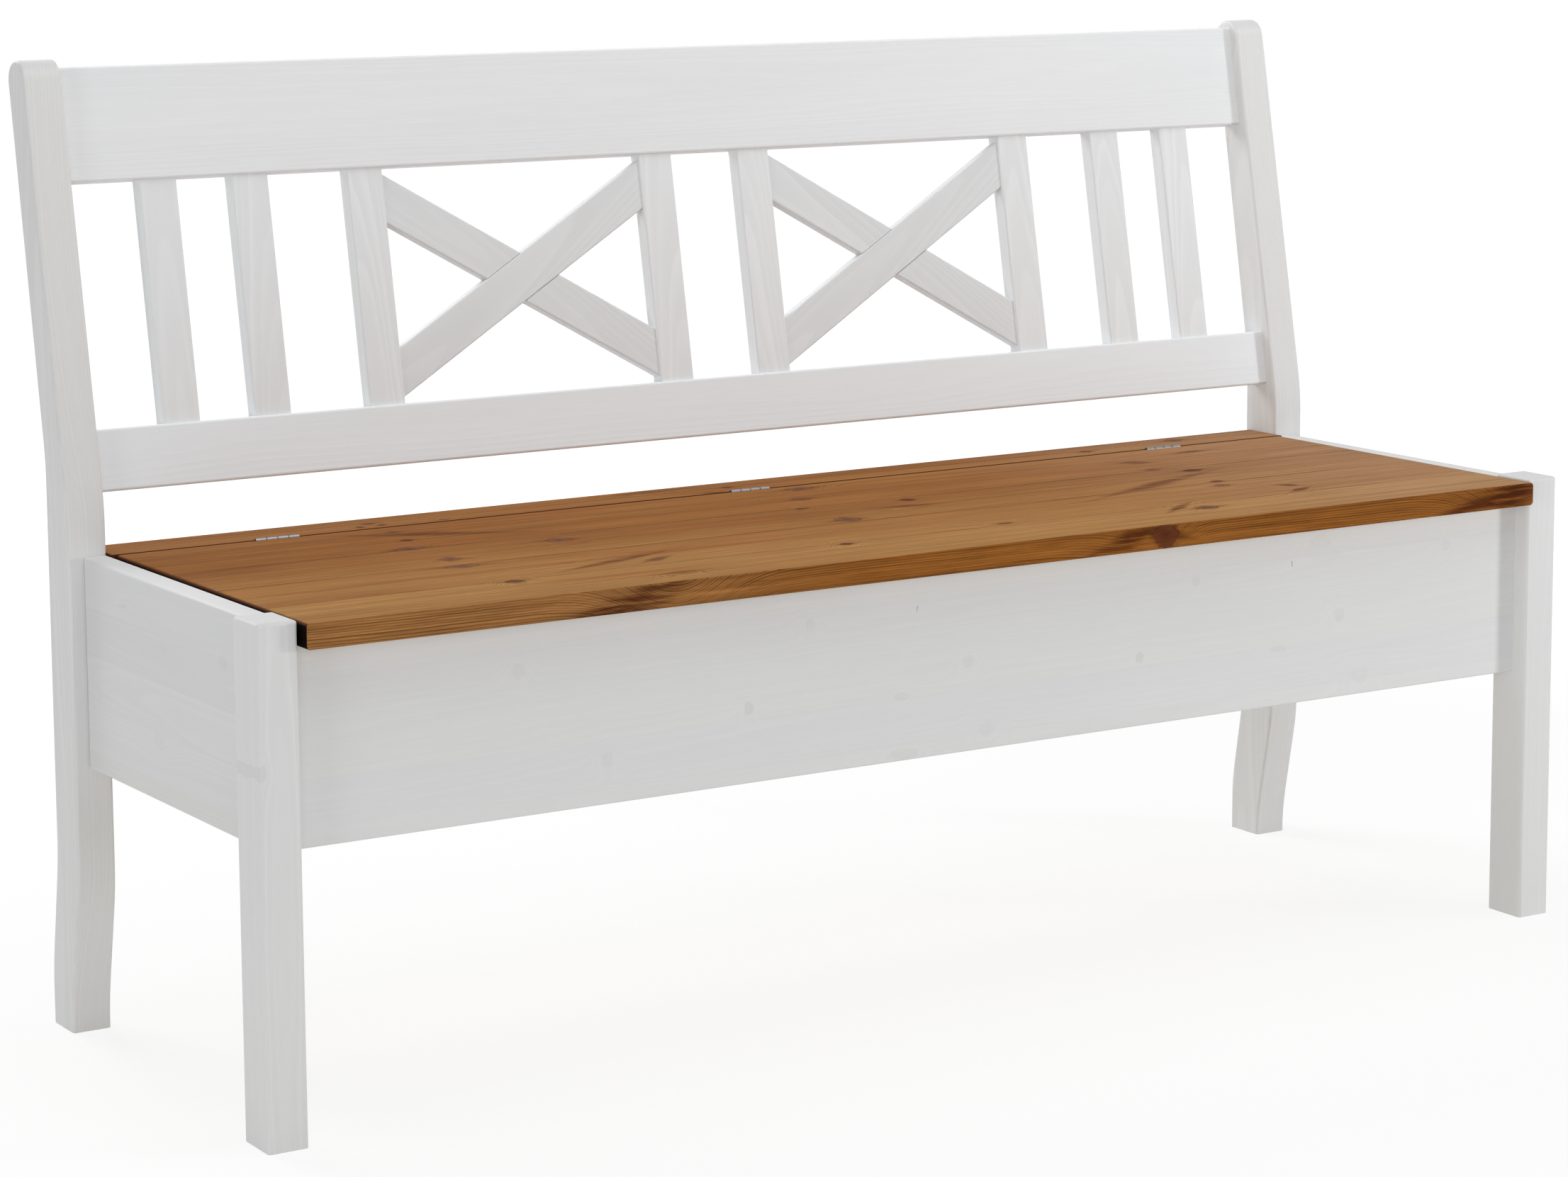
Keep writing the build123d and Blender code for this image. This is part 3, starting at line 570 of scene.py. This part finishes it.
def stained(name, board, tone=1.0, joint_y=None):
    """Pine glued up from staves, under a matt honey brown stain, with painted shade towards the rear and on
    the end grain and a painted highlight towards the right end.
    """
    material, t, shader = new_material(name)
    wood = timber(t, board)
    x, y, z = t.split(wood["Place"])
    colour = t.mix(t.math("MULTIPLY", wood["Rings"], STAIN_RINGS_SHARE), STAIN_EARLY, STAIN_LATE)
    colour = t.mix(t.math("MULTIPLY", wood["Warm"], STAIN_WARM_SHARE), colour, STAIN_RED)
    colour = t.mix(t.step(wood["Blotch"], *STAIN_BLOTCH_RANGE, 0.0, STAIN_BLOTCH_SHARE), colour, STAIN_RED)
    # Painted shade towards the rear, and a painted highlight towards the right end
    colour = t.mix(t.step(y, STAIN_REAR_SHADE_FROM, STAIN_REAR_SHADE_TO, 0.0, STAIN_REAR_SHADE_SHARE), colour, STAIN_REAR_SHADE)
    colour = t.mix(t.step(x, STAIN_RIGHT_HIGHLIGHT_FROM, STAIN_RIGHT_HIGHLIGHT_TO, 0.0, STAIN_RIGHT_HIGHLIGHT_SHARE), colour, STAIN_RIGHT_HIGHLIGHT)
    rough = STAIN_FIBRE
    if "Front" in wood:
        clear = t.step(t.noise(wood["Place"], (3.0, 40, 40), 2.0), 0.30, 0.65, 0.25, 1.0)
        edge = t.mix(t.step(x, STAIN_EDGE_FROM, STAIN_EDGE_TO), STAIN_EDGE_EARLY, STAIN_EDGE_RIGHT)
        edge = t.mix(t.math("MULTIPLY", wood["Rings"], clear), edge, STAIN_EDGE_LATE)
        colour = t.mix(wood["Front"], colour, edge)
        rough = t.math("MULTIPLY_ADD", wood["Front"], STAIN_EDGE_FIBRE - STAIN_FIBRE, STAIN_FIBRE)
    level = t.math("MULTIPLY_ADD", t.span(wood["Fibre"], -1.0, 1.0), rough, 1.0)
    level = shade(t, wood, level, STAIN_SPREAD)
    low, high = STAIN_STAVE_SPREAD
    level = t.math("MULTIPLY", level, t.span(wood["Tone"], low * tone, high * tone))
    colour = add_marks(t, wood, t.scale(colour, level), STAIN_MARKS)
    # Darker along the fixed board's front edge at the lid: dark stain in the joint and painted shade of the
    # gap
    if joint_y is not None:
        away = t.math("ABSOLUTE", t.math("SUBTRACT", y, joint_y))
        joint = t.step(away, JOINT_REACH, JOINT_REACH / 4, 0.0, STAIN_JOINT_SHARE)
        colour = t.mix(joint, colour, STAIN_SEAM)
    # End grain: dark stain, with painted shade that turns it black below its dark brown lit top
    end = t.mix(t.step(z, *STAIN_END_SHADE_RANGE), STAIN_END_LIT, STAIN_END_SHADED)
    colour = t.mix(wood["End"], colour, end)
    t.feed(shader.inputs["Base Color"], colour)
    t.feed(shader.inputs["Roughness"], t.span(wood["Fibre"], *STAIN_ROUGHNESS))
    shader.inputs["Specular IOR Level"].default_value = STAIN_REFLECTION
    height = t.math("MULTIPLY_ADD", wood["Seam"], -0.8, wood["Fibre"])
    add_bump(t, shader, height, *STAIN_BUMP)
    return material


def bare(name, board):
    """Planed pine with no finish, for what the closed box hides."""
    material, t, shader = new_material(name)
    wood = timber(t, board)
    colour = t.mix(t.math("MULTIPLY", wood["Rings"], BARE_RINGS_SHARE), BARE_EARLY, BARE_LATE)
    level = shade(t, wood, 1.0, BARE_SPREAD)
    colour = add_marks(t, wood, t.scale(colour, level), BARE_MARKS)
    t.feed(shader.inputs["Base Color"], colour)
    t.feed(shader.inputs["Roughness"], t.span(wood["Fibre"], *BARE_ROUGHNESS))
    shader.inputs["Specular IOR Level"].default_value = BARE_REFLECTION
    add_bump(t, shader, wood["Fibre"], *BARE_BUMP)
    return material


def zinc(name):
    """Bright zinc plate with fine brush marks and faint clouding."""
    material, t, shader = new_material(name)
    coords = t.add("ShaderNodeTexCoord").outputs["Object"]
    brush = t.noise(coords, (60, 2600, 2600), 3.0, 0.6)
    cloud = t.noise(coords, (70, 70, 70), 3.0, 0.6)
    colour = t.mix(cloud, ZINC, ZINC_CLOUD)
    t.feed(shader.inputs["Base Color"], t.scale(colour, t.span(brush, *ZINC_BRUSH_SPREAD)))
    t.feed(shader.inputs["Roughness"], t.span(brush, *ZINC_ROUGHNESS))
    shader.inputs["Metallic"].default_value = 1.0
    add_bump(t, shader, brush, *ZINC_BUMP)
    return material


# Knots read from the photograph, in millimetres along and across their board: place, half length and width,
# turn in degrees, how solid and how pale the core is, how dark its tails are, and its lift of the rings
LID_KNOTS = [
    Knot(-460, 19, 15, 9, 0, 0.9, 0.9),
    Knot(-317, -18, 13, 11, 10, 1.0, 0.8),
    Knot(-454, -54, 9, 12, 20, 0.7, 0.9),
    Knot(-463, -95, 17, 9, 5, 0.8, 0.9),
    Knot(-460, -193, 9, 8, 0, 1.0, 0.2),
    Knot(-430, 112, 7, 7, 0, 0.6, 0.9),
    Knot(-440, 63, 6, 6, 0, 1.0, 0.0),
    Knot(-403, 83, 40, 15, 25, 0.0, 0.0, 1.0, 6),
    Knot(-330, -150, 34, 9, -18, 0.0, 0.0, 1.0, 6),
    Knot(-292, -163, 14, 7, -25, 0.5, 0.9),
    Knot(-308, -237, 14, 8, 0, 0.25, 0.3),
    Knot(-98, -192, 7, 6, 0, 1.0, 0.1),
    Knot(-20, 11, 7, 5, 0, 0.9, 0.2),
    Knot(-18, -73, 13, 13, 0, 0.8, 0.7),
    Knot(48, 122, 15, 11, 0, 0.9, 0.7),
    Knot(12, 63, 10, 9, 0, 0.6, 0.7),
    Knot(100, -2, 8, 8, 0, 1.0, 0.0),
    Knot(75, -33, 20, 8, 10, 0.0, 0.0, 1.0, 4),
    Knot(97, -178, 9, 4, 0, 0.9, 0.1),
    Knot(547, 103, 18, 5, 0, 0.5, 0.3),
    Knot(447, 73, 12, 11, 30, 0.4, 0.9),
    Knot(431, 21, 9, 6, 0, 0.7, 0.8),
    Knot(465, -7, 12, 8, 0, 1.0, 0.0),
    Knot(439, -82, 7, 6, 0, 1.0, 0.0),
    Knot(426, -107, 9, 8, 0, 0.6, 0.8),
    Knot(375, -62, 52, 13, -22, 0.0, 0.0, 1.0, 6),
    Knot(485, -144, 9, 7, 40, 0.6, 0.1),
    Knot(477, -173, 12, 6, -25, 0.7, 0.3),
    Knot(324, -212, 13, 10, 0, 0.9, 0.7),
    Knot(300, -197, 18, 8, -35, 0.0, 0.0, 1.0, 4),
]
LID_EDGE_KNOTS = [
    Knot(224, -11, 15, 12, 10, 1.0, 1.0, 0.9, 14),
    Knot(178, -11, 24, 11, -14, 0.0, 0.0, 0.9, 4),
    Knot(-400, -19, 34, 13, -12, 0.0, 0.0, 1.0, 0),
    Knot(-362, -10, 32, 22, -25, 0.0, 0.0, 0.8, 0),
    Knot(-334, -12, 30, 26, 0, 0.0, 0.0, 0.0, 26),
    Knot(625, -19, 45, 12, -12, 0.0, 0.0, 0.9, 0),
    Knot(672, -12, 30, 28, -15, 0.0, 0.0, 1.0, 0),
    Knot(690, -12, 34, 26, 0, 0.0, 0.0, 0.0, 26),
]
SEAT_BOARD_KNOTS = [
    Knot(-427, 172, 7, 4, 0, 1.0, 0.0),
    Knot(-443, 158, 4, 5, 0, 1.0, 0.0),
    Knot(-419, 159, 4, 5, 0, 1.0, 0.1),
    Knot(-352, 154, 5, 4, 0, 0.7, 0.2),
    Knot(-10, 172, 7, 5, 0, 0.8, 0.0),
    Knot(-35, 148, 16, 5, 15, 0.6, 0.0),
    Knot(-93, 190, 26, 9, 0, 0.0, 0.0, 0.8, 4),
    Knot(452, 167, 7, 6, 0, 0.9, 0.2),
    Knot(585, 182, 11, 9, 0, 0.8, 0.7),
]
FRONT_PANEL_KNOTS = [
    Knot(-485, 400, 6, 8, 0, 0.5, 0.0),
    Knot(-173, 409, 5, 6, 0, 0.5, 0.0),
    Knot(-241, 337, 5, 6, 0, 1.0, 0.0),
    Knot(-394, 307, 6, 8, 0, 0.6, 0.0),
    Knot(-69, 328, 9, 4, 0, 0.6, 0.0),
    Knot(-66, 272, 16, 6, 0, 0.5, 0.0),
    Knot(9, 354, 6, 6, 0, 0.5, 0.0),
    Knot(30, 285, 9, 8, 0, 0.4, 0.0),
    Knot(216, 335, 5, 6, 0, 1.0, 0.0),
    Knot(286, 406, 5, 6, 0, 0.5, 0.0),
    Knot(392, 324, 10, 4, 0, 0.5, 0.0),
    Knot(472, 351, 7, 7, 0, 0.6, 0.0),
    Knot(445, 430, 14, 7, 0, 0.4, 0.0),
    Knot(500, 285, 12, 9, 0, 0.3, 0.0),
    Knot(614, 411, 6, 6, 0, 0.4, 0.0),
    Knot(-51, 412, 0.7, 3.5, 10, 1.0, 1.0, 0.0, 0),
    Knot(409, 410, 0.7, 3.5, -8, 1.0, 1.0, 0.0, 0),
]
END_PANEL_KNOTS = [
    Knot(66, 437, 9, 2, 5, 0.8, 0.0),
    Knot(-24, 412, 8, 3, 0, 0.4, 0.0),
    Knot(-158, 421, 10, 6, 0, 0.5, 0.0),
    Knot(-12, 322, 14, 8, 0, 0.3, 0.0),
]
LEFT_LEG_KNOTS = [Knot(341, -17, 7, 5, 0, 0.8, 0.0, 0.3, 3)]


def scattered_knots(seed, count, along, across):
    """Knots for a board that the photograph doesn't show, spread over its face in millimetres."""
    rng = random.Random(seed)
    knots = []
    for _ in range(count):
        size = rng.uniform(4, 9)
        place = (rng.uniform(*along), rng.uniform(*across))
        knots.append(Knot(*place, size * 1.2, size, 0, rng.uniform(0.4, 1), 0.1))
    return knots


def board_of(along, across, seed, origin, stave=0.0, stave_start=0.0, spacing=RING_SPACING, taper=RING_TAPER,
             sway=RING_SWAY, knots=(), edge_knots=(), seams=(), power=ROUND_POWER):
    wood = (stave, stave_start, spacing, taper, sway, knots, edge_knots, seams, power)
    return Board(along, across, origin, seed, *wood)


def dress(node, material):
    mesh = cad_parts[node].data
    mesh.materials.clear()
    mesh.materials.append(material)


def middle(node):
    low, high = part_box(node)
    return (low + high) / 2


def bar_direction(node):
    """The way a cross bar runs, from its own box and the backrest's lean."""
    low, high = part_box(node)
    up = (high.z - low.z) / math.cos(LEAN)
    run = high.x - low.x
    sign = 1 if "rising" in node else -1
    return (ALONG_X * run + UP_LEAN * up * sign).normalized()


SIDES = ("left", "right")


def dress_frame():
    """Legs, posts and panels."""
    for number, side in enumerate(SIDES):
        leg = "front_leg_" + side
        knots = LEFT_LEG_KNOTS if side == "left" else []
        place = middle(leg)
        place.z = 0
        grain = LEFT_LEG_GRAIN if side == "left" else RIGHT_LEG_GRAIN
        board = board_of(ALONG_Z, ALONG_X, SEEDS["leg"] + number, place, taper=LEG_TAPER, knots=knots)
        dress(leg, painted(leg, board, grain=grain))
        post = "rear_post_" + side
        place = middle(post)
        place.z = 0
        board = board_of(ALONG_Z, ALONG_Y, SEEDS["post"] + number, place, taper=POST_TAPER)
        dress(post, painted(post, board, POST_TONE))
        panel = "end_panel_" + side
        place = middle(panel)
        place.y = 0
        place.z = 0
        knots = END_PANEL_KNOTS
        if side == "right":
            knots = scattered_knots(RIGHT_PANEL_KNOT_SEED, 4, (-180, 130), (290, 450))
        board = board_of(
            ALONG_Y, ALONG_Z, SEEDS["end_panel"] + number, place, *END_PANEL_STAVES,
            knots=knots, seams=PANEL_SEAMS)
        dress(panel, painted(panel, board, END_PANEL_TONE, grain=PANEL_GRAIN))
    rear_knots = scattered_knots(REAR_PANEL_KNOT_SEED, 12, (-680, 680), (280, 440))
    for panel, knots, grain in (("front_panel", FRONT_PANEL_KNOTS, FRONT_PANEL_GRAIN),
                                ("rear_panel", rear_knots, PANEL_GRAIN)):
        place = middle(panel)
        place.x = 0
        place.z = 0
        board = board_of(
            ALONG_X, ALONG_Z, SEEDS[panel], place, *PANEL_STAVES, knots=knots, seams=PANEL_SEAMS)
        dress(panel, painted(panel, board, grain=grain))


def dress_backrest():
    """Rails, slats and crosses, whose grain follows the lean."""
    # The lower rail's lighter tone and cooler tint, and the cooler tint of the slats and bars, are painted
    # light
    rails = (("top_rail", TOP_RAIL_TONE, RAIL_TINT), ("lower_rail", LOWER_RAIL_SHADE_LIFT, LOWER_RAIL_BOUNCE_CANCEL_TINT))
    for number, (rail, tone, tint) in enumerate(rails):
        board = board_of(ALONG_X, UP_LEAN, SEEDS["rail"] + number, middle(rail), taper=RAIL_TAPER)
        dress(rail, painted(rail, board, tone, tint, RAIL_GRAIN))
    for number in range(1, SLAT_COUNT + 1):
        slat = "slat_%d" % number
        board = board_of(UP_LEAN, ALONG_X, SEEDS["slat"] + number, middle(slat), taper=SLAT_TAPER)
        dress(slat, painted(slat, board, SLAT_TONE, BACKREST_BOUNCE_CANCEL_TINT))
    out = ALONG_X.cross(UP_LEAN)
    for side, first_seed in zip(SIDES, CROSS_SEEDS):
        for number, kind in enumerate(("rising", "falling")):
            bar = "%s_cross_%s_bar" % (side, kind)
            along = bar_direction(bar)
            board = board_of(along, out.cross(along), first_seed + number, middle(bar), taper=BAR_TAPER)
            dress(bar, painted(bar, board, BAR_TONE, BACKREST_BOUNCE_CANCEL_TINT))


def dress_seat():
    """The lid, the fixed board behind it, and the lid's battens."""
    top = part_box("seat_lid")[1].z
    board = board_of(
        ALONG_X, ALONG_Y, SEEDS["lid"], (0, 0, top), *LID_STAVES, LID_RING_SPACING, LID_TAPER, LID_SWAY,
        LID_KNOTS, LID_EDGE_KNOTS, LID_SEAMS, LENS_POWER)
    dress("seat_lid", stained("seat_lid", board))
    joint_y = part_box("rear_seat_board")[0].y
    board = board_of(
        ALONG_X, ALONG_Y, SEEDS["seat_board"], (0, 0, top), SEAT_BOARD_STAVE, joint_y,
        knots=SEAT_BOARD_KNOTS, seams=SEAT_BOARD_SEAMS, power=LENS_POWER)
    dress("rear_seat_board", stained("rear_seat_board", board, SEAT_BOARD_TONE, joint_y))
    for number, batten in enumerate(("lid_batten_left", "lid_batten_middle", "lid_batten_right")):
        board = board_of(ALONG_Y, ALONG_X, SEEDS["lid_batten"] + number, middle(batten))
        dress(batten, stained(batten, board, LID_BATTEN_TONE))


def dress_hidden_wood():
    """The storage floor, its battens and the dowels."""
    place = middle("storage_floor")
    place.x = 0
    place.y = 0
    knots = scattered_knots(FLOOR_KNOT_SEED, 14, (-680, 680), (-200, 160))
    board = board_of(ALONG_X, ALONG_Y, SEEDS["floor"], place, *FLOOR_STAVES, knots=knots, seams=FLOOR_SEAMS)
    dress("storage_floor", bare("storage_floor", board))
    for number, batten in enumerate(("floor_batten_front", "floor_batten_rear")):
        board = board_of(ALONG_X, ALONG_Z, SEEDS["floor_batten"] + number, middle(batten))
        dress(batten, bare(batten, board))
    for number, dowels in enumerate(("panel_dowels", "seat_board_dowels", "cross_dowels")):
        board = board_of(ALONG_X, ALONG_Y, SEEDS["dowels"] + number, middle(dowels))
        dress(dowels, bare(dowels, board))


def dress_metal():
    """Hinges and screws share one zinc finish."""
    finish = zinc("zinc_steel")
    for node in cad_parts:
        if node.startswith("hinge_") or node.endswith("_screws"):
            dress(node, finish)


def make_floor():
    """A pale floor that looks white to the camera and keeps the bench's shadow."""
    bpy.ops.mesh.primitive_circle_add(vertices=64, radius=FLOOR_RADIUS, fill_type="NGON")
    floor = bpy.context.object
    floor.name = "floor"
    material = bpy.data.materials.new("floor")
    material.use_nodes = True
    t = Tree(material.node_tree)
    material.node_tree.nodes.remove(material.node_tree.nodes["Principled BSDF"])
    out = material.node_tree.nodes["Material Output"]
    pale = t.add("ShaderNodeBsdfDiffuse")
    pale.inputs["Color"].default_value = (FLOOR_ALBEDO, FLOOR_ALBEDO, FLOOR_ALBEDO, 1)
    kept = t.add("ShaderNodeBsdfDiffuse")
    kept.inputs["Color"].default_value = (FLOOR_SHADOW_SHARE, FLOOR_SHADOW_SHARE, FLOOR_SHADOW_SHARE, 1)
    place = t.add("ShaderNodeTexCoord").outputs["Object"]
    away = t.vector("LENGTH", place).outputs["Value"]
    glow = t.add("ShaderNodeEmission")
    t.feed(glow.inputs["Strength"], t.step(away, FLOOR_NEAR, FLOOR_FAR, 1.0 - FLOOR_SHADOW_SHARE, 1.0))
    seen = t.add("ShaderNodeAddShader")
    t.feed(seen.inputs[0], kept.outputs[0])
    t.feed(seen.inputs[1], glow.outputs[0])
    choice = t.add("ShaderNodeMixShader")
    t.feed(choice.inputs[0], seen_ray(t))
    t.feed(choice.inputs[1], pale.outputs[0])
    t.feed(choice.inputs[2], seen.outputs[0])
    t.feed(out.inputs["Surface"], choice.outputs[0])
    floor.data.materials.append(material)


def seen_ray(t):
    """One where the ray comes from the camera, a reflection or glass, and nought for light that bounces."""
    path = t.add("ShaderNodeLightPath").outputs
    bright = t.math("MAXIMUM", path["Is Glossy Ray"], path["Is Transmission Ray"])
    return t.math("MAXIMUM", path["Is Camera Ray"], bright)


def make_world():
    """White to the camera and in reflections, and an even soft light on the bench."""
    world = bpy.data.worlds.new("studio")
    world.use_nodes = True
    bpy.context.scene.world = world
    t = Tree(world.node_tree)
    background = world.node_tree.nodes["Background"]
    background.inputs["Color"].default_value = (1, 1, 1, 1)
    t.feed(background.inputs["Strength"], t.span(seen_ray(t), AMBIENT, 1.0))


Lamp = namedtuple("Lamp", "name place size watts")
LAMPS = [
    Lamp("overhead", (0.3, -0.5, 3.2), 3.0, 55),
    Lamp("right", (3.3, -2.3, 0.8), 0.5, 40),
    Lamp("front_left", (-2.5, -4.0, 1.2), 2.4, 31),
    Lamp("far_left", (-8.0, -2.6, 0.6), 2.0, 140),
    Lamp("back", (-1.0, 3.0, 2.6), 2.0, 72),
]
LAMP_AIM = Vector((0, 0, 0.45))


def make_lamps():
    for lamp in LAMPS:
        data = bpy.data.lights.new(lamp.name, "AREA")
        data.shape = "SQUARE"
        data.size = lamp.size
        data.energy = lamp.watts
        light = bpy.data.objects.new(lamp.name, data)
        light.location = lamp.place
        light.visible_camera = False
        light.rotation_euler = (LAMP_AIM - light.location).to_track_quat("-Z", "Y").to_euler()
        bpy.context.scene.collection.objects.link(light)


def make_camera():
    azimuth = math.radians(CAMERA_AZIMUTH)
    elevation = math.radians(CAMERA_ELEVATION)
    roll = math.radians(CAMERA_ROLL)
    forward = Vector((-math.sin(azimuth) * math.cos(elevation), math.cos(azimuth) * math.cos(elevation),
                      -math.sin(elevation)))
    right = Vector((math.cos(azimuth), math.sin(azimuth), 0))
    up = right.cross(forward)
    right, up = (right * math.cos(roll) + up * math.sin(roll), up * math.cos(roll) - right * math.sin(roll))
    data = bpy.data.cameras.new("camera")
    data.sensor_fit = "HORIZONTAL"
    data.sensor_width = SENSOR_WIDTH_MM
    data.lens = FOCAL_LENGTH_PIXELS / PHOTO_WIDTH * SENSOR_WIDTH_MM
    data.shift_y = CAMERA_SHIFT_Y
    camera = bpy.data.objects.new("camera", data)
    turn = Matrix((right, up, -forward)).transposed().to_4x4()
    camera.matrix_world = Matrix.Translation(CAMERA_PLACE) @ turn
    bpy.context.scene.collection.objects.link(camera)
    bpy.context.scene.camera = camera


dress_frame()
dress_backrest()
dress_seat()
dress_hidden_wood()
dress_metal()
make_floor()
make_world()
make_lamps()
make_camera()
bpy.context.scene.view_settings.view_transform = "Standard"
